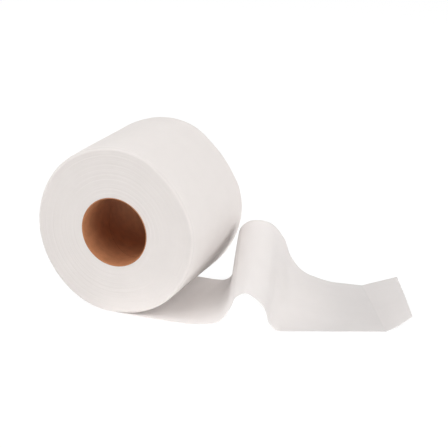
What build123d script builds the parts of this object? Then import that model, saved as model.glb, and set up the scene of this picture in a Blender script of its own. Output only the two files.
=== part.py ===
"""Toilet paper roll lying on its side, with its loose end run out over the surface.

Millimetres. The origin is the middle of the core's bore. +Y runs along the roll's axis,
away from the viewer, +X is the way the loose end leaves, and +Z is up.
"""

import os
from math import pi, sin

from build123d import *

# Roll
roll_diameter = 116.0
roll_width = 84.0
turn_rings = 10  # rings of turns that show on each end face
turn_step = 0.4  # how far each ring's outer edge stands proud of its inner edge
turn_unevenness = 0.2  # how far the proud edges differ from ring to ring
turn_wander = 2.3  # radians from ring to ring, so that neighbours are not alike
rim_soften = 1.2  # soft outer corner of the roll
flat_spot_depth = 0.4  # how far the soft roll has settled

# Core
core_bore = 47.0
core_wall = 0.6

# Loose end
sheet = 0.4  # thickness of the loose sheet, with its crepe
hump_share = 0.62  # share of the way to the crease that the hump itself takes
hump_stations = 52
landing_stations = 8
flap_stations = 6
far_lead = 0.05  # how far the far end of a line across the sheet runs ahead, at most, as a share

# Edges of the loose sheet, from where it lifts off the surface to its crease. Each point says
# how far it is out past the roll's side, how far back from the roll's end face on that side,
# and how high above the surface.
near_hump_points = [
    (-12.0, 0.0, 0.0),
    (4.0, -0.5, 1.5),
    (18.0, -0.5, 7.0),
    (28.0, -2.0, 19.0),
    (31.5, -3.0, 26.0),
    (38.0, -2.0, 29.0),
    (44.0, 0.5, 25.5),
    (49.0, 5.0, 16.0),
    (51.5, 9.5, 5.0),
    (55.5, 12.0, 0.7),
    (61.0, 14.0, 0.0),
    (71.0, 18.0, 0.0),
    (100.0, 29.5, 0.0),
    (122.0, 38.5, 0.0),
]
far_hump_points = [
    (-18.0, 0.0, 0.0),
    (-12.5, 0.0, 0.7),
    (-7.5, -0.5, 4.5),
    (-4.0, -1.5, 11.5),
    (0.0, -7.0, 33.0),
    (5.0, -10.0, 47.0),
    (11.0, -9.5, 51.7),
    (18.0, -8.0, 52.5),
    (24.5, -5.5, 50.0),
    (31.5, 0.5, 38.0),
    (35.0, 6.0, 24.5),
    (42.0, 11.5, 13.0),
    (54.0, 17.0, 6.0),
    (67.0, 23.0, 2.5),
    (81.0, 28.5, 0.0),
]

# Edges of the lifted flap, on from the crease to the torn end
near_flap_points = [(128.0, 41.0, 4.0), (136.5, 44.5, 11.5)]
far_flap_points = [(90.0, 32.0, 3.5), (103.0, 37.0, 7.5)]

roll_radius = roll_diameter / 2
half_width = roll_width / 2
core_radius = core_bore / 2
core_outer_radius = core_radius + core_wall
floor = -(roll_radius - flat_spot_depth)


def end_face_points():
    """Stepped line over one end face, from the core out to the roll's side."""
    pitch = (roll_radius - core_outer_radius) / turn_rings
    points = []
    for ring in range(turn_rings):
        inner = core_outer_radius + ring * pitch
        proud = half_width - turn_unevenness * (1 + sin(turn_wander * ring)) / 2
        points.append((inner, proud - turn_step))
        points.append((inner + pitch, proud))
    return points


def placed(points, end_face):
    """Edge points of the loose sheet, set out from the roll's side, end face and floor."""
    return [Vector(roll_radius + x, end_face + y, floor + z) for x, y, z in points]


def hump_line(route):
    """Curve along one edge of the sheet, lifting smoothly off the surface at its start."""
    ends = [Vector(1, 0, 0), route[-1] - route[-2]]
    return Spline(*route, tangents=ends, tangent_scalars=(1, 1))


def section(lines, near_share, far_share):
    """Plane across the sheet between shares of its two edges, and the sheet's width there."""
    sides = []
    travel = Vector(0, 0, 0)
    for line, share in zip(lines, (near_share, far_share)):
        reach = share * line.length
        point = line.position_at(reach, PositionMode.LENGTH)
        travel += line.tangent_at(reach, PositionMode.LENGTH)
        sides.append(Vector(point.X, point.Y, max(point.Z, floor)))
    across = sides[1] - sides[0]
    up = travel.cross(across).normalized()
    middle = (sides[0] + sides[1]) / 2 + up * (sheet / 2)
    return Plane(origin=middle, x_dir=across, z_dir=across.cross(up)), across.length


near_hump = placed(near_hump_points, -half_width)
far_hump = placed(far_hump_points, half_width)
near_flap = [near_hump[-1], *placed(near_flap_points, -half_width)]
far_flap = [far_hump[-1], *placed(far_flap_points, half_width)]

hump_lines = hump_line(near_hump), hump_line(far_hump)
flap_lines = Spline(*near_flap), Spline(*far_flap)
hump_shares = [hump_share * i / hump_stations for i in range(hump_stations)]
landing_step = (1 - hump_share) / landing_stations
landing_shares = [hump_share + landing_step * i for i in range(landing_stations + 1)]
flap_shares = [i / flap_stations for i in range(1, flap_stations + 1)]
sections = [
    section(hump_lines, share, share + far_lead * sin(pi * share))
    for share in hump_shares + landing_shares
]
sections += [section(flap_lines, share, share) for share in flap_shares]

# Core: spiral-wound cardboard tube, as long as the roll is wide
with BuildPart() as core:
    with BuildSketch(Plane.XZ):
        Circle(core_outer_radius)
        Circle(core_radius, mode=Mode.SUBTRACT)
    extrude(amount=half_width, both=True)

# Tissue: the wound turns and the loose end, one web of paper
with BuildPart() as tissue:
    # Wound turns, stepped on both end faces
    with BuildSketch(Plane.XY):
        with BuildLine():
            back_face = end_face_points()
            front_face = [(x, -y) for x, y in reversed(back_face)]
            Polyline(*back_face, *front_face, close=True)
        make_face()
        chamfer(vertices().group_by(Axis.X)[-1], rim_soften)
    revolve(axis=Axis.Y)

    # Small flat spot that the soft roll rests on
    split(bisect_by=Plane.XY.offset(floor), keep=Keep.TOP)

    # Loose end, flat on the surface from under the roll to where it lifts off
    with BuildSketch(Plane.XY.offset(floor)):
        with BuildLine():
            lift_off = [(point.X, point.Y) for point in (near_hump[0], far_hump[0])]
            Polyline((0, -half_width), *lift_off, (0, half_width), close=True)
        make_face()
    extrude(amount=sheet)

    # Loose end over its hump to the crease, then its lifted flap
    for place, width in sections:
        with BuildSketch(place):
            Rectangle(width, sheet)
    loft(ruled=True)

os.makedirs("parts", exist_ok=True)
core.part.label = "core"
tissue.part.label = "tissue"
export_step(core.part, "parts/core.step")
export_step(tissue.part, "parts/tissue.step")
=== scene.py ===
"""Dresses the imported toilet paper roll: wound turns, loose end, cardboard core, and the stage.

Metres, in the row's frame. The origin is the middle of the core's bore, +Y runs along the
roll's axis away from the camera, +X is the way the loose end leaves, and +Z is up.
"""

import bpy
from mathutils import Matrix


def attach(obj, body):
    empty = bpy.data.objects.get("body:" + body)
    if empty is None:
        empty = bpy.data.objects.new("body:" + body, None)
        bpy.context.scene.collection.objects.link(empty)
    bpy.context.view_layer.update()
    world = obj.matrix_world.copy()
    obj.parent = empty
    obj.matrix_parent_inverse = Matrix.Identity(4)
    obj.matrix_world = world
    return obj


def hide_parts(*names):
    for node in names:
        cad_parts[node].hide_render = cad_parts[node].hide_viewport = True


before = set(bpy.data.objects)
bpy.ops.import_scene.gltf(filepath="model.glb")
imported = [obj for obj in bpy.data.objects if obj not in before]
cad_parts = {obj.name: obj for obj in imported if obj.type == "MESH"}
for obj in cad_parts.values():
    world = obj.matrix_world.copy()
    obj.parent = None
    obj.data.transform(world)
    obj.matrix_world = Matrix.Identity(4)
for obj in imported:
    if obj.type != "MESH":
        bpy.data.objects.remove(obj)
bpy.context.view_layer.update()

import math

import bpy
import numpy as np
from mathutils import Matrix, Vector

bl_info = {
    "name": "Toilet paper roll",
    "version": (1, 0, 0),
    "blender": (4, 5, 0),
    "location": "3D View > Sidebar > Paper Roll",
    "description": "Builds a soft roll of toilet paper with its loose end run out",
    "category": "Add Mesh",
}

MM = 0.001

# Edges and middle line of the loose sheet, from under the roll to its crease, in millimetres:
# how far out past the roll's side, how far back from the roll's near end face, middle or far
# end face, and how high above the surface
NEAR_EDGE = [
    (-58.0, 0.0, 0.0),
    (-43.0, -1.2, 0.0),
    (-27.5, -1.5, 0.0),
    (-12.0, -1.0, 0.0),
    (4.0, -1.0, 1.0),
    (18.5, -0.8, 5.8),
    (28.0, -2.5, 18.2),
    (31.5, -3.0, 25.8),
    (38.0, -2.0, 29.0),
    (44.0, 0.5, 25.3),
    (49.0, 4.0, 17.5),
    (51.3, 8.5, 5.2),
    (55.0, 10.8, 0.3),
    (61.0, 13.0, 0.0),
    (71.0, 17.2, 0.0),
    (100.0, 28.9, 0.0),
    (122.0, 38.0, 0.0),
]
MIDDLE_LINE = [
    (-58.0, 0.0, 0.0),
    (-27.5, 0.0, 0.0),
    (-12.0, 0.0, 0.0),
    (-5.0, -0.2, 1.2),
    (2.0, -0.5, 4.0),
    (10.0, -2.5, 16.0),
    (14.0, -5.5, 30.0),
    (18.0, -6.5, 37.0),
    (24.5, -6.0, 40.3),
    (32.0, -3.0, 39.0),
    (37.0, -0.8, 35.0),
    (41.5, 5.0, 22.0),
    (47.5, 10.5, 9.5),
    (59.0, 16.3, 2.8),
    (73.0, 22.0, 1.0),
    (87.0, 27.7, 0.4),
    (101.3, 33.5, 0.0),
]
FAR_EDGE = [
    (-58.0, 0.0, 0.0),
    (-43.0, 0.0, 0.0),
    (-28.0, 0.0, 0.0),
    (-18.0, 0.0, 0.0),
    (-12.5, 0.0, 0.7),
    (-7.5, -0.5, 4.5),
    (-4.0, -1.5, 11.5),
    (0.0, -7.0, 33.6),
    (5.0, -10.0, 47.4),
    (11.0, -9.5, 51.6),
    (18.0, -8.0, 52.0),
    (25.0, -5.0, 49.2),
    (31.8, 0.5, 38.2),
    (35.0, 6.0, 23.2),
    (42.0, 11.5, 11.8),
    (54.0, 17.0, 4.9),
    (67.0, 23.0, 1.7),
    (81.0, 28.5, 0.0),
]
# The same lines on over the lifted flap to the torn end
NEAR_FLAP = [(122.0, 38.0, 0.0), (129.0, 41.0, 3.7), (138.0, 44.5, 11.2)]
MIDDLE_FLAP = [(101.3, 33.5, 0.0), (109.0, 36.5, 3.5), (120.8, 41.1, 9.9)]
FAR_FLAP = [(81.0, 28.5, 0.0), (90.0, 32.0, 2.8), (103.8, 37.2, 7.2)]

# Where the camera stands, and how far the lamps stand from the roll, in metres
CAMERA_PLACE = (0.4711, -0.9757, 0.3631)
LAMP_DISTANCE = 1.6
# Each lamp's turn round the roll and height above level in degrees, its size in metres and its
# power in watts
LAMPS = (
    ("side lamp", 68, 40, 0.8, 2.4),
    ("low side lamp", 78, 8, 0.8, 9.5),
    ("top lamp", 30, 70, 1.8, 10.2),
    ("front top lamp", -15, 55, 1.2, 8.9),
    ("left lamp", -80, 40, 1.5, 12.6),
    ("back lamp", 130, 25, 0.9, 2.9),
)

# How far the soft roll's side lies outside a true circle, in millimetres, every 15 degrees
# from +X up through +Z
OUT_OF_ROUND = [0.3, -0.1, -1.0, -1.1, 0.0, 0.9, 1.0, 0.6, 0.4, 0.1, -0.2, -0.4]
OUT_OF_ROUND += [-0.3, -0.4, -0.5, -0.2, 0.4, 0.6, 0.4, 0.1, 0.1, 0.0, -0.2, 0.0]
# How much further it lies out at the back end face
BACK_BULGE = [0.8, 0.7, 0.3, 0.4, 0.9, 1.0, 0.4, -0.2, -0.4, -0.3, -0.2, 0.0]
BACK_BULGE += [0.0, 0.0, 0.0, 0.0, 0.0, 0.0, 0.0, 0.0, 0.0, 0.0, 0.2, 0.6]


class RollSizes(bpy.types.PropertyGroup):
    """Sizes of the wound turns and the core."""

    radius: bpy.props.FloatProperty(
        name="Radius", description="Radius of the wound roll", default=0.058, unit="LENGTH"
    )
    width: bpy.props.FloatProperty(
        name="Width", description="Width of the web of paper", default=0.084, unit="LENGTH"
    )
    bore: bpy.props.FloatProperty(
        name="Bore radius", description="Radius of the core's bore", default=0.0235, unit="LENGTH"
    )
    wall: bpy.props.FloatProperty(
        name="Core wall", description="Thickness of the core", default=0.0006, unit="LENGTH"
    )
    rest: bpy.props.FloatProperty(
        name="Surface",
        description="Height of the surface that the roll lies on",
        default=-0.0576,
        unit="LENGTH",
    )
    rim: bpy.props.FloatProperty(
        name="Rim rounding", description="Soft outer corner", default=0.0022, unit="LENGTH"
    )
    turns: bpy.props.IntProperty(
        name="Turns shown", description="Fine turns on each end face", default=52, min=4
    )
    rings: bpy.props.IntProperty(
        name="Proud rings", description="Wider rings that stand proud", default=10, min=1
    )


class SheetSizes(bpy.types.PropertyGroup):
    """Sizes of the loose end."""

    thickness: bpy.props.FloatProperty(
        name="Thickness",
        description="Thickness of the sheet with its crepe",
        default=0.0003,
        unit="LENGTH",
    )
    perforation: bpy.props.FloatProperty(
        name="Perforation",
        description="Distance between rows of perforations",
        default=0.14,
        unit="LENGTH",
    )
    slit: bpy.props.FloatProperty(
        name="Slit pitch", description="Pitch of the slits in a row", default=0.002, unit="LENGTH"
    )


class PaperColours(bpy.types.PropertyGroup):
    """Colours of the tissue and the board."""

    tissue: bpy.props.FloatVectorProperty(
        name="Tissue",
        description="Colour of the tissue",
        subtype="COLOR",
        size=3,
        default=(0.83, 0.783, 0.757),
    )
    board: bpy.props.FloatVectorProperty(
        name="Board",
        description="Colour of the core's board",
        subtype="COLOR",
        size=3,
        default=(0.5, 0.22, 0.106),
    )


class StageSettings(bpy.types.PropertyGroup):
    """Camera and light."""

    azimuth: bpy.props.FloatProperty(
        name="Azimuth", description="Camera's turn round the roll, degrees", default=22.733
    )
    elevation: bpy.props.FloatProperty(
        name="Elevation", description="Camera's height above level, degrees", default=18.898
    )
    lens: bpy.props.FloatProperty(
        name="Lens", description="Focal length in millimetres", default=132.59
    )
    sky: bpy.props.FloatProperty(
        name="Sky", description="Strength of the soft light all round", default=0.05
    )
    table: bpy.props.FloatProperty(
        name="Table light", description="Light that the lit white table gives off", default=0.22
    )
    middle: bpy.props.FloatProperty(
        name="Table middle", description="Light of the table under the loose end", default=1.1
    )
    behind: bpy.props.FloatProperty(
        name="Table behind",
        description="Light of the table behind the roll's low side",
        default=4.0,
    )


class Field:
    """A value in a node tree that takes part in sums, each of which adds a Math node."""

    def __init__(self, tree, socket):
        self.tree = tree
        self.socket = socket

    def math(self, operation, *others):
        made = self.tree.nodes.new("ShaderNodeMath")
        made.operation = operation
        for place, value in zip(made.inputs, (self, *others)):
            join(self.tree, place, value)
        return Field(self.tree, made.outputs[0])

    def __add__(self, other):
        return self.math("ADD", other)

    def __sub__(self, other):
        return self.math("SUBTRACT", other)

    def __mul__(self, other):
        return self.math("MULTIPLY", other)

    def __truediv__(self, other):
        return self.math("DIVIDE", other)

    def between(self, low, high, start=0.0, end=1.0):
        """Smooth step of this value from low to high, turned into start to end."""
        made = self.tree.nodes.new("ShaderNodeMapRange")
        made.interpolation_type = "SMOOTHSTEP"
        for place, value in zip(made.inputs, (self, low, high, start, end)):
            join(self.tree, place, value)
        return Field(self.tree, made.outputs[0])


def join(tree, place, value):
    """Links a value to a socket, or sets the socket to it."""
    if isinstance(value, Field):
        value = value.socket
    if isinstance(value, bpy.types.NodeSocket):
        tree.links.new(value, place)
    else:
        place.default_value = value


def add(tree, kind, settings=None, **inputs):
    """A new node with its settings and inputs, the inputs named with _ for a space."""
    made = tree.nodes.new(kind)
    for key, value in (settings or {}).items():
        setattr(made, key, value)
    for key, value in inputs.items():
        join(tree, made.inputs[key.replace("_", " ")], value)
    return made


def split(tree, vector):
    """The x, y and z of a vector as fields."""
    made = add(tree, "ShaderNodeSeparateXYZ", Vector=vector)
    return [Field(tree, socket) for socket in made.outputs]


def merge(tree, x, y, z):
    """A vector socket from three values."""
    return add(tree, "ShaderNodeCombineXYZ", X=x, Y=y, Z=z).outputs[0]


def noise(tree, vector, scale, detail=2.0, settings=None, **inputs):
    """Noise, 0 to 1, as a field."""
    inputs.update(Vector=vector, Scale=scale, Detail=detail)
    return Field(tree, add(tree, "ShaderNodeTexNoise", settings, **inputs).outputs[0])


def new_tree(name, inputs):
    """A geometry tree with a geometry input and output and the named inputs."""
    tree = bpy.data.node_groups.new(name, "GeometryNodeTree")
    tree.interface.new_socket("Geometry", in_out="INPUT", socket_type="NodeSocketGeometry")
    tree.interface.new_socket("Geometry", in_out="OUTPUT", socket_type="NodeSocketGeometry")
    for label, kind in inputs.items():
        tree.interface.new_socket(label, in_out="INPUT", socket_type="NodeSocket" + kind)
    return tree, tree.nodes.new("NodeGroupInput").outputs, tree.nodes.new("NodeGroupOutput")


def end_tree(tree, out, geometry, material):
    """Gives a tree's geometry its material and makes it the tree's result."""
    whole = add(tree, "GeometryNodeRealizeInstances", Geometry=geometry).outputs[0]
    painted = add(tree, "GeometryNodeSetMaterial", Geometry=whole, Material=material)
    tree.links.new(painted.outputs[0], out.inputs[0])


def run_tree(base, tree, values, later=()):
    """The plain mesh that a tree, and any modifiers after it, make from a base mesh."""
    holder = bpy.data.objects.new(base.name + "_base", base)
    bpy.context.scene.collection.objects.link(holder)
    modifier = holder.modifiers.new("Tree", "NODES")
    modifier.node_group = tree
    for item in tree.interface.items_tree:
        if item.in_out == "INPUT" and item.name in values:
            modifier[item.identifier] = values[item.name]
    for kind, settings in later:
        extra = holder.modifiers.new(kind, kind)
        for key, value in settings.items():
            setattr(extra, key, value)
    graph = bpy.context.evaluated_depsgraph_get()
    made = bpy.data.meshes.new_from_object(holder.evaluated_get(graph))
    bpy.data.objects.remove(holder)
    return made


def finished(name, mesh, material, node):
    """A piece at the origin that rides on the frame and stands for a CAD node."""
    mesh.name = name
    mesh.materials.clear()
    mesh.materials.append(material)
    mesh.shade_smooth()
    piece = bpy.data.objects.new(name, mesh)
    bpy.context.scene.collection.objects.link(piece)
    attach(piece, "root")
    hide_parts(node)
    return piece


def smooth_line(points, shares):
    """Points at shares of the length of a smooth curve through the points given."""
    points = np.array(points, float)
    steps = np.linalg.norm(np.diff(points, axis=0), axis=1)
    reach = np.concatenate([[0], np.cumsum(steps)])
    slopes = np.diff(points, axis=0) / steps[:, None]
    weights = steps[1:] / (steps[:-1] + steps[1:])
    inner = slopes[:-1] * weights[:, None] + slopes[1:] * (1 - weights)[:, None]
    ends = slopes[0] * 1.5 - inner[0] / 2, slopes[-1] * 1.5 - inner[-1] / 2
    tangents = np.vstack([ends[0], inner, ends[1]])

    def at(place):
        i = np.clip(np.searchsorted(reach, place, side="right") - 1, 0, len(steps) - 1)
        h = steps[i][:, None]
        t = ((place - reach[i]) / steps[i])[:, None]
        return (
            (2 * t**3 - 3 * t**2 + 1) * points[i]
            + (t**3 - 2 * t**2 + t) * h * tangents[i]
            + (3 * t**2 - 2 * t**3) * points[i + 1]
            + (t**3 - t**2) * h * tangents[i + 1]
        )

    fine = np.linspace(0, reach[-1], 2000)
    walked = np.concatenate([[0], np.cumsum(np.linalg.norm(np.diff(at(fine), axis=0), axis=1))])
    return at(np.interp(np.asarray(shares) * walked[-1], walked, fine)), walked[-1]


def grid_mesh(name, places, uv=None, ring=False):
    """A mesh of quads over rows of points, or a ring that closes along and across its rows."""
    rows, columns = places.shape[:2]
    index = np.arange(rows * columns).reshape(rows, columns)
    if ring:
        index = np.concatenate([index, index[:, :1]], axis=1)
        index = np.concatenate([index, index[:1]], axis=0)
    faces = np.stack(
        [index[:-1, :-1], index[1:, :-1], index[1:, 1:], index[:-1, 1:]], axis=-1
    ).reshape(-1, 4)
    mesh = bpy.data.meshes.new(name)
    mesh.from_pydata(places.reshape(-1, 3).tolist(), [], faces.tolist())
    if uv is not None:
        layer = mesh.uv_layers.new(name="flat")
        layer.data.foreach_set("uv", uv.reshape(-1, 2)[faces.ravel()].astype(np.float32).ravel())
    return mesh


def new_surface(name, looks):
    """A material whose Principled shader has the looks given, its tree and its shader."""
    material = bpy.data.materials.new(name)
    material.use_nodes = True
    shader = material.node_tree.nodes["Principled BSDF"]
    for label, value in looks.items():
        shader.inputs[label].default_value = value
    return material, material.node_tree, shader


def shaded(colour, factor):
    """A colour made darker or lighter, with its alpha."""
    return (*[min(1, part * factor) for part in colour], 1)


def mixed(tree, factor, first, second):
    """Colour socket that goes from the first colour to the second."""
    made = add(tree, "ShaderNodeMix", {"data_type": "RGBA"}, Factor=factor, A=first, B=second)
    return made.outputs["Result"]


def tissue_material(name, colour, on_sheet):
    """Soft creped tissue. The crepe runs across the web, whose edges show as fine rings."""
    looks = {
        "Roughness": 0.92,
        "Specular IOR Level": 0.18,
        "Sheen Weight": 0.12,
        "Sheen Roughness": 0.6,
        "Subsurface Weight": 0.7 if on_sheet else 0.2,
        "Subsurface Radius": (1.0, 1.0, 1.0),
        "Subsurface Scale": 1.2 * MM,
    }
    material, tree, shader = new_surface(name, looks)
    if on_sheet:
        flat = add(tree, "ShaderNodeUVMap", {"uv_map": "flat"}).outputs[0]
        u, v, _ = split(tree, flat)
        web = merge(tree, u, v * 0.09, 0.0)
        crinkle_web = merge(tree, u, v * 0.3, 0.0)
        broad = flat
    else:
        broad = add(tree, "ShaderNodeTexCoord").outputs["Object"]
        x, y, z = split(tree, broad)
        web = merge(tree, x, y * 0.09, z)
        crinkle_web = merge(tree, x, y * 0.3, z)
    crepe = noise(tree, web, 2600.0, 3.0)
    crinkle = noise(tree, crinkle_web, 420.0, 3.0)
    fibre = noise(tree, broad, 5200.0, 1.0)
    height = crepe * 0.5 + crinkle * 0.35 + fibre * 0.15
    if not on_sheet:
        radius = (x * x + z * z).math("SQRT")
        normal = add(tree, "ShaderNodeNewGeometry").outputs["Normal"]
        facing = split(tree, normal)[1].math("ABSOLUTE").between(0.7, 0.95)
        wander = noise(tree, broad, 60.0, 1.0)
        rings = noise(tree, merge(tree, radius * 4200.0, wander * 1.5, 0.0), 1.0, 1.0)
        height = height * (facing * -0.5 + 1.0) + rings * facing * 0.4
    bump = add(tree, "ShaderNodeBump", Strength=0.5, Distance=0.18 * MM, Height=height)
    tree.links.new(bump.outputs[0], shader.inputs["Normal"])
    cloud = noise(tree, broad, 70.0, 3.0)
    shade = cloud.between(0.3, 0.7) * 0.6 + crinkle * 0.4
    paper = mixed(tree, shade, shaded(colour, 0.985), shaded(colour, 1.012))
    if not on_sheet:
        # Painted shade: the rim between an end face and the side is a little greyer, which dims
        # its highlight
        turned = split(tree, normal)[1].math("ABSOLUTE").between(0.1, 0.98)
        # The mask peaks on the rounded rim, where the painted shade goes
        paper = mixed(tree, turned * (turned * -4.0 + 4.0), paper, shaded(colour, 0.92))
    tree.links.new(paper, shader.inputs["Base Color"])
    return material


def board_material(name, colour):
    """Brown recycled board with fibres that follow the wound plies, and a seam darkened as a glue
    line and as painted shade in its groove.
    """
    looks = {"Roughness": 0.8, "Specular IOR Level": 0.2}
    material, tree, shader = new_surface(name, looks)
    place = add(tree, "ShaderNodeTexCoord").outputs["Object"]
    mottle = noise(tree, place, 180.0, 4.0)
    x, y, z = split(tree, place)
    fibres = noise(tree, merge(tree, x * 0.35, y + z * 0.2, z * 0.35), 2400.0, 3.0)
    flecks = noise(tree, place, 1500.0, 1.0).between(0.66, 0.74)
    shade = mottle.between(0.3, 0.7) * 0.6 + fibres * 0.4
    board = mixed(tree, shade, shaded(colour, 0.86), shaded(colour, 1.12))
    board = mixed(tree, flecks * 0.35, board, shaded(colour, 0.55))
    # The seam's groove is darkened: partly a dark glue line, partly painted shade in the groove
    seam = add(tree, "ShaderNodeAttribute", {"attribute_name": "seam"}).outputs["Fac"]
    board = mixed(tree, seam, board, shaded(colour, 0.4))
    tree.links.new(board, shader.inputs["Base Color"])
    height = fibres * 0.6 + mottle * 0.4
    bump = add(tree, "ShaderNodeBump", Strength=0.4, Distance=0.2 * MM, Height=height)
    tree.links.new(bump.outputs[0], shader.inputs["Normal"])
    return material


def roll_profile(sizes):
    """Line round one side of the roll's section, from the core out and back: (radius, y)."""
    inner = sizes.bore + sizes.wall
    half = sizes.width / 2
    outer = sizes.radius - sizes.rim
    groove, step = 0.05 * MM, 0.08 * MM
    face = [(inner, half - step)]
    pitch = (outer - inner) / sizes.turns
    for turn in range(sizes.turns):
        for share, depth in ((0.0, groove), (0.5, 0.0)):
            radius = inner + (turn + share) * pitch
            ring = (radius - inner) / (outer - inner) * sizes.rings
            proud = 1 - (ring % 1.0)
            face.append((radius, half - depth - step * proud * proud))
    # The first groove lies a little out from the core
    face[1] = (inner + 0.2 * pitch, face[1][1])
    bends = 7
    for i in range(bends + 1):
        angle = math.pi / 2 * i / bends
        face.append(
            (outer + sizes.rim * math.sin(angle), half - sizes.rim * (1 - math.cos(angle)))
        )
    side = half - sizes.rim
    rows = 42
    middle = [(sizes.radius, side - 2 * side * i / rows) for i in range(1, rows)]
    back = [(r, -y) for r, y in reversed(face)]
    return face + middle + back


def bulge_curve(tree, turn, bulges):
    """Bulge at a share of a turn, in metres, from a list of bulges round it in millimetres."""
    shape = add(tree, "ShaderNodeFloatCurve", Factor=1.0, Value=turn)
    curve = shape.mapping.curves[0]
    while len(curve.points) < len(bulges) + 1:
        curve.points.new(0.5, 0.5)
    most = 2.0
    for i, point in enumerate(curve.points):
        height = bulges[i % len(bulges)] / most
        point.location = (i / len(bulges), 0.5 + height / 2)
    shape.mapping.update()
    return (Field(tree, shape.outputs[0]) - 0.5) * (2 * most * MM)


def roll_tree():
    """Turns a profile round the Y axis, lets the turns wander and settles the soft roll."""
    inputs = {
        "Segments": "Int",
        "Rows": "Int",
        "Core Radius": "Float",
        "Roll Radius": "Float",
        "Half Width": "Float",
        "Surface": "Float",
        "Wander": "Float",
        "Seed": "Float",
        "Material": "Material",
    }
    tree, given, out = new_tree("Wind the turns", inputs)
    value = {label: Field(tree, given[label]) for label in inputs if label != "Material"}
    columns = value["Segments"] + 1.0
    grid = add(tree, "GeometryNodeMeshGrid", Vertices_X=given["Rows"], Vertices_Y=columns)
    index = Field(tree, add(tree, "GeometryNodeInputIndex").outputs[0])
    row = ((index + 0.5) / columns).math("FLOOR")
    turn = (index - row * columns) / value["Segments"]
    sample = add(
        tree,
        "GeometryNodeSampleIndex",
        {"data_type": "FLOAT_VECTOR", "domain": "POINT"},
        Geometry=given["Geometry"],
        Index=row,
        Value=add(tree, "GeometryNodeInputPosition").outputs[0],
    )
    radius, along, _ = split(tree, sample.outputs[0])
    backness = along.between(value["Half Width"] * -1.0, value["Half Width"])
    spread = bulge_curve(tree, turn, OUT_OF_ROUND)
    spread = spread + bulge_curve(tree, turn, BACK_BULGE) * backness
    share = radius.between(value["Core Radius"], value["Roll Radius"])
    radius_now = radius + spread * share
    angle = turn * math.tau
    x = radius_now * angle.math("COSINE")
    z = radius_now * angle.math("SINE")
    half, each_ring = value["Half Width"], radius * 900.0 + value["Seed"]
    on_face = along.math("ABSOLUTE").between(half - 2.5 * MM, half - 1.0 * MM)
    spot = merge(tree, x, along, z)
    ring_noise = noise(tree, spot, 14.0, 1.0, {"noise_dimensions": "4D"}, W=each_ring)
    drift = (ring_noise - 0.5) * value["Wander"] * on_face
    dents = (noise(tree, merge(tree, x, along * 0.6, z), 24.0, 1.0) - 0.5) * (0.5 * MM) * share
    scale = (radius_now + dents) / radius_now
    height = (z * scale).math("MAXIMUM", value["Surface"])
    placed = add(
        tree,
        "GeometryNodeSetPosition",
        Geometry=grid.outputs["Mesh"],
        Position=merge(tree, x * scale, along + drift, height),
    )
    closed = add(tree, "GeometryNodeMergeByDistance", Geometry=placed.outputs[0], Distance=1e-6)
    outward = add(tree, "GeometryNodeFlipFaces", Mesh=closed.outputs[0])
    end_tree(tree, out, outward.outputs[0], given["Material"])
    return tree


class OBJECT_OT_wound_roll(bpy.types.Operator):
    """Build the wound turns of tissue"""

    bl_idname = "object.wound_roll"
    bl_label = "Wound roll"

    def execute(self, context):
        sizes = context.scene.roll_sizes
        material = tissue_material("wound tissue", context.scene.paper_colours.tissue, False)
        profile = roll_profile(sizes)
        profile.append(profile[0])
        base = bpy.data.meshes.new("wound_roll")
        base.from_pydata([(r, y, 0) for r, y in profile], [], [])
        values = {
            "Segments": 240,
            "Rows": len(profile),
            "Core Radius": sizes.bore + sizes.wall,
            "Roll Radius": sizes.radius,
            "Half Width": sizes.width / 2,
            "Surface": sizes.rest,
            "Wander": 0.25 * MM,
            "Seed": 3.0,
            "Material": material,
        }
        mesh = run_tree(base, roll_tree(), values)
        finished("wound_roll", mesh, material, "tissue")
        return {"FINISHED"}


def perforate_tree():
    """Cuts a row of slits across the sheet, and leaves the torn half-bonds at its end."""
    inputs = {
        "Row": "Float",
        "End": "Float",
        "Slit Width": "Float",
        "Slit Pitch": "Float",
        "Bond Length": "Float",
        "Seed": "Float",
        "Material": "Material",
    }
    tree, given, out = new_tree("Perforate the sheet", inputs)
    value = {label: Field(tree, given[label]) for label in inputs if label != "Material"}
    flat = add(
        tree, "GeometryNodeInputNamedAttribute", {"data_type": "FLOAT_VECTOR"}, Name="middle"
    ).outputs[0]
    u, v, _ = split(tree, flat)
    phase = (v / value["Slit Pitch"]).math("FRACT")
    slit_share = 0.52
    in_row = (u - value["Row"]).math("ABSOLUTE").math("LESS_THAN", value["Slit Width"] / 2.0)
    slits = in_row * phase.math("LESS_THAN", slit_share)
    bond_number = (v / value["Slit Pitch"]).math("FLOOR")
    rag = noise(tree, merge(tree, bond_number, value["Seed"], 0.0), 1.7)
    kept = value["Bond Length"] * (rag * 1.4)
    past = u.math("GREATER_THAN", value["End"] - value["Bond Length"] + kept)
    at_end = u.math("GREATER_THAN", value["End"] - value["Bond Length"])
    torn = at_end * phase.math("LESS_THAN", slit_share)
    cut = (slits + torn + past).math("GREATER_THAN", 0.5)
    left = add(
        tree,
        "GeometryNodeDeleteGeometry",
        {"domain": "FACE"},
        Geometry=given["Geometry"],
        Selection=cut,
    )
    end_tree(tree, out, left.outputs[0], given["Material"])
    return tree


def placed_lines(sizes, shapes):
    """The near, middle and far line of the sheet, set out from the roll's side and its width."""
    sides = (-sizes.width / 2, 0.0, sizes.width / 2)
    return [
        [(sizes.radius + x * MM, side + y * MM, sizes.rest + z * MM) for x, y, z in shape]
        for shape, side in zip(shapes, sides)
    ]


def sheet_stations(row, slit_width, crease, flat_length, bond):
    """Places along the flat sheet, close together at its slits, its crease and its torn end."""
    bend = [crease + d * MM for d in (-4, -2.5, -1.5, -0.8, -0.3, 0.3, 0.8, 1.5, 2.5, 4)]
    apart = 1.5 * MM
    return np.concatenate(
        [
            np.linspace(0, row - slit_width / 2, 80),
            np.linspace(row + slit_width / 2, bend[0] - apart, 60),
            bend,
            np.linspace(bend[-1] + apart, flat_length - bond, 10),
            np.linspace(flat_length - bond, flat_length, 5)[1:],
        ]
    )


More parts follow.
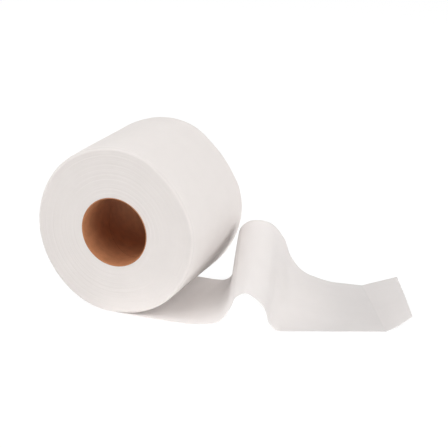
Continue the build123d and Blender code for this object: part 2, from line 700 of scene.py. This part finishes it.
def sheet_places(lines, flaps, shares, beyond, across):
    """Points of the sheet, on curves across it through its near, middle and far line."""
    routes = []
    for line, flap in zip(lines, flaps):
        lower = smooth_line(line, shares)[0]
        upper = smooth_line(flap, beyond)[0]
        routes.append(np.where((beyond > 0)[:, None], upper, lower))
    near, middle, far = routes
    t = across[None, :, None]
    return (
        near[:, None] * (2 * (t - 0.5) * (t - 1))
        + middle[:, None] * (4 * t * (1 - t))
        + far[:, None] * (2 * t * (t - 0.5))
    )


def add_waves(heights, stations, v, rest):
    """Adds slight slanting waves to the sheet's heights, less where it lies on the surface."""
    rng = np.random.default_rng(11)
    lifted = np.clip((heights - rest) / (3 * MM), 0, 1)
    for _ in range(10):
        length = rng.uniform(14, 34) * MM
        slant, phase = rng.uniform(-0.5, 0.5), rng.uniform(0, math.tau)
        size = rng.uniform(0.03, 0.09) * MM
        wave = np.sin(math.tau * (stations[:, None] + slant * v[None]) / length + phase)
        heights += size * (wave + 1 - lifted) * (0.25 + 0.75 * lifted)


class OBJECT_OT_loose_end(bpy.types.Operator):
    """Build the loose end of the tissue"""

    bl_idname = "object.loose_end"
    bl_label = "Loose end"

    def execute(self, context):
        sizes, sheet = context.scene.roll_sizes, context.scene.sheet_sizes
        lines = placed_lines(sizes, (NEAR_EDGE, MIDDLE_LINE, FAR_EDGE))
        flaps = placed_lines(sizes, (NEAR_FLAP, MIDDLE_FLAP, FAR_FLAP))
        to_crease = sum([smooth_line(line, [1.0])[1] for line in lines]) / len(lines)
        past_crease = sum([smooth_line(flap, [1.0])[1] for flap in flaps]) / len(flaps)
        flat_length = to_crease + past_crease
        row = flat_length - sheet.perforation
        slit_width, bond = 0.14 * MM, 0.45 * MM
        stations = sheet_stations(row, slit_width, to_crease, flat_length, bond)
        shares = np.minimum(stations / to_crease, 1.0)
        beyond = np.maximum(stations - to_crease, 0.0) / past_crease
        column_width = 0.5 * MM
        across = np.linspace(0, 1, int(round(sizes.width / column_width)) + 1)
        places = sheet_places(lines, flaps, shares, beyond, across)
        v = across * sizes.width
        add_waves(places[..., 2], stations, v, sizes.rest)
        places[..., 2] = np.maximum(places[..., 2], sizes.rest) + sheet.thickness / 2

        uv = np.stack(np.broadcast_arrays(stations[:, None], v[None]), axis=-1)
        base = grid_mesh("loose_end", places, uv)
        middles = np.zeros((len(stations) - 1, len(v) - 1, 3), np.float32)
        middles[..., :2] = (uv[:-1, :-1] + uv[1:, 1:]) / 2
        spots = base.attributes.new("middle", "FLOAT_VECTOR", "FACE")
        spots.data.foreach_set("vector", middles.ravel())

        # A single layer looks a little greyer than the roll
        red, green, blue = context.scene.paper_colours.tissue
        single_layer = (red * 0.858, green * 0.861, blue * 0.87)
        material = tissue_material("loose tissue", single_layer, True)
        values = {
            "Row": row,
            "End": flat_length,
            "Slit Width": slit_width,
            "Slit Pitch": sheet.slit,
            "Bond Length": bond,
            "Seed": 5.0,
            "Material": material,
        }
        solid = ("SOLIDIFY", {"thickness": sheet.thickness, "offset": 0.0})
        mesh = run_tree(base, perforate_tree(), values, [solid])
        piece = finished("loose_end", mesh, material, "tissue")
        return {"FINISHED"}


class OBJECT_OT_core_tube(bpy.types.Operator):
    """Build the spiral-wound cardboard core"""

    bl_idname = "object.core_tube"
    bl_label = "Core tube"

    def execute(self, context):
        sizes = context.scene.roll_sizes
        half, rows, pitch = sizes.width / 2, 64, 80 * MM
        seam_start, seam_depth, ply_step = math.radians(175.5), 0.35 * MM, 0.1 * MM
        # Degrees round from the seam, with fine columns across it
        columns = [0, 0.3, 1.0, 1.7, 2.1, 2.8, *np.arange(4, 360, 2.0)]
        columns = np.radians(columns)
        depth = np.zeros(len(columns))
        depth[1:4] = seam_depth
        step = ply_step * np.clip(1 - columns / math.radians(150), 0, 1)
        ys = np.linspace(-half, half, rows + 1)[:, None]
        angles = seam_start + columns[None] - math.tau * ys / pitch
        walls = []
        for radius, relief in ((sizes.bore, depth - step), (sizes.bore + sizes.wall, depth * 0)):
            r = radius + relief[None] + 0 * ys
            walls.append(np.stack([r * np.cos(angles), ys + 0 * r, r * np.sin(angles)], axis=-1))
        inner, outer = walls
        mesh = grid_mesh("core_tube", np.concatenate([outer, inner[::-1]]), ring=True)
        # Marks the seam's groove, which the board darkens as a glue line and as painted shade
        seam = mesh.attributes.new("seam", "FLOAT", "POINT")
        inside = np.tile(np.sign(depth), rows + 1)
        seam.data.foreach_set("value", np.append(inside * 0, inside).astype(np.float32))
        material = board_material("core board", context.scene.paper_colours.board)
        finished("core_tube", mesh, material, "core")
        return {"FINISHED"}


def away(azimuth, elevation):
    """Direction from the roll, turned round it from -Y and raised from level, in radians."""
    level = math.cos(elevation)
    return Vector((math.sin(azimuth) * level, -math.cos(azimuth) * level, math.sin(elevation)))


def seen_straight(tree):
    """1 for what the camera sees, also mirrored or through glass, and 0 for other light."""
    path = add(tree, "ShaderNodeLightPath").outputs
    seen = Field(tree, path["Is Camera Ray"]) + path["Is Glossy Ray"]
    return (seen + path["Is Transmission Ray"]).math("MINIMUM", 1.0)


def lit_table(tree, grey, glow):
    """Shader socket of a matt surface that also gives off some light."""
    matt = add(tree, "ShaderNodeBsdfDiffuse", Color=(grey, grey, grey, 1))
    light = add(tree, "ShaderNodeEmission", Strength=glow)
    both = tree.nodes.new("ShaderNodeAddShader")
    tree.links.new(matt.outputs[0], both.inputs[0])
    tree.links.new(light.outputs[0], both.inputs[1])
    return both.outputs[0]


def bright_spot(x, y, middle, reach, brightest, past):
    """Light of the table round a place, brightest there and fading over a reach."""
    off_x, off_y = x - middle[0], y - middle[1]
    off = (off_x * off_x + off_y * off_y).math("SQRT")
    return off.between(*reach, brightest, past)


def table_material(settings):
    """White table that the camera sees evenly lit, and that lights the dim places by the roll."""
    material = bpy.data.materials.new("white floor")
    material.use_nodes = True
    tree = material.node_tree
    tree.nodes.remove(tree.nodes["Principled BSDF"])
    pick = tree.nodes.new("ShaderNodeMixShader")
    join(tree, pick.inputs[0], seen_straight(tree))
    x, y, _ = split(tree, add(tree, "ShaderNodeTexCoord").outputs["Object"])
    # Each bright spot's middle, and how near and how far from it its light fades
    hump_place, hump_fade = (0.055, 0.0), (0.02, 0.102)
    back_place, back_fade = (0.048, 0.078), (0.01, 0.038)
    glow = bright_spot(x, y, hump_place, hump_fade, settings.middle, settings.table)
    glow = glow + bright_spot(x, y, back_place, back_fade, settings.behind, 0.0)
    # The camera sees a nearly white table that still takes a faint shadow
    table_grey, seen_grey, seen_light = 0.8, 0.1, 0.95
    tree.links.new(lit_table(tree, table_grey, glow), pick.inputs[1])
    tree.links.new(lit_table(tree, seen_grey, seen_light), pick.inputs[2])
    tree.links.new(pick.outputs[0], tree.nodes["Material Output"].inputs["Surface"])
    return material


def set_camera(scene, settings):
    """Adds the scene's camera at its place, turned towards the roll."""
    azimuth, elevation = math.radians(settings.azimuth), math.radians(settings.elevation)
    back = away(azimuth, elevation)
    right = Vector((math.cos(azimuth), math.sin(azimuth), 0))
    up = back.cross(right)
    data = bpy.data.cameras.new("camera")
    data.lens, data.sensor_width = settings.lens, 36.0
    data.clip_start, data.clip_end = 0.05, 50
    camera = bpy.data.objects.new("camera", data)
    turn = Matrix((right, up, back)).transposed().to_4x4()
    camera.matrix_world = Matrix.Translation(CAMERA_PLACE) @ turn
    scene.collection.objects.link(camera)
    scene.camera = camera


def set_sky(scene, strength):
    """Adds soft light all round, white where the camera sees it."""
    world = bpy.data.worlds.new("sky")
    scene.world = world
    world.use_nodes = True
    tree = world.node_tree
    sky = tree.nodes["Background"]
    sky.inputs["Color"].default_value = (1, 1, 1, 1)
    join(tree, sky.inputs["Strength"], seen_straight(tree).math("MAXIMUM", strength))


def set_lamps(scene):
    """Adds the square lamps round the roll, each aimed at it."""
    for name, turned, raised, size, power in LAMPS:
        lamp = bpy.data.lights.new(name, "AREA")
        lamp.energy, lamp.size = power, size
        holder = bpy.data.objects.new(name, lamp)
        place = away(math.radians(turned), math.radians(raised)) * LAMP_DISTANCE
        holder.location = place
        holder.rotation_euler = place.to_track_quat("Z", "Y").to_euler()
        scene.collection.objects.link(holder)


class OBJECT_OT_roll_stage(bpy.types.Operator):
    """Set the floor, the soft light and the camera"""

    bl_idname = "object.roll_stage"
    bl_label = "Stage"

    def execute(self, context):
        scene, settings = context.scene, context.scene.stage_settings
        scene.view_settings.view_transform = "Standard"
        set_camera(scene, settings)
        set_sky(scene, settings.sky)
        set_lamps(scene)
        rest, reach = scene.roll_sizes.rest, 12.0
        mesh = bpy.data.meshes.new("floor")
        signs = ((-1, -1), (1, -1), (1, 1), (-1, 1))
        corners = [(reach * across, reach * along, rest) for across, along in signs]
        mesh.from_pydata(corners, [], [(0, 1, 2, 3)])
        mesh.materials.append(table_material(settings))
        floor = bpy.data.objects.new("floor", mesh)
        scene.collection.objects.link(floor)
        return {"FINISHED"}


class VIEW3D_PT_paper_roll(bpy.types.Panel):
    """Sizes, colours and steps of the paper roll"""

    bl_idname = "VIEW3D_PT_paper_roll"
    bl_label = "Paper Roll"
    bl_space_type = "VIEW_3D"
    bl_region_type = "UI"
    bl_category = "Paper Roll"

    def draw(self, context):
        layout = self.layout
        for name in GROUPS:
            group = getattr(context.scene, name)
            box = layout.box()
            for key in group.__annotations__:
                box.prop(group, key)
        for operator in OPERATORS:
            layout.operator(operator.bl_idname)


GROUPS = {
    "roll_sizes": RollSizes,
    "sheet_sizes": SheetSizes,
    "paper_colours": PaperColours,
    "stage_settings": StageSettings,
}
OPERATORS = (
    OBJECT_OT_roll_stage,
    OBJECT_OT_wound_roll,
    OBJECT_OT_loose_end,
    OBJECT_OT_core_tube,
)


def register():
    for kind in (*GROUPS.values(), *OPERATORS, VIEW3D_PT_paper_roll):
        bpy.utils.register_class(kind)
    for key, kind in GROUPS.items():
        setattr(bpy.types.Scene, key, bpy.props.PointerProperty(type=kind))


def unregister():
    for key in GROUPS:
        delattr(bpy.types.Scene, key)
    for kind in reversed((*GROUPS.values(), *OPERATORS, VIEW3D_PT_paper_roll)):
        bpy.utils.unregister_class(kind)


def main():
    register()
    bpy.ops.object.roll_stage()
    bpy.ops.object.wound_roll()
    bpy.ops.object.loose_end()
    bpy.ops.object.core_tube()


if __name__ == "__main__":
    main()
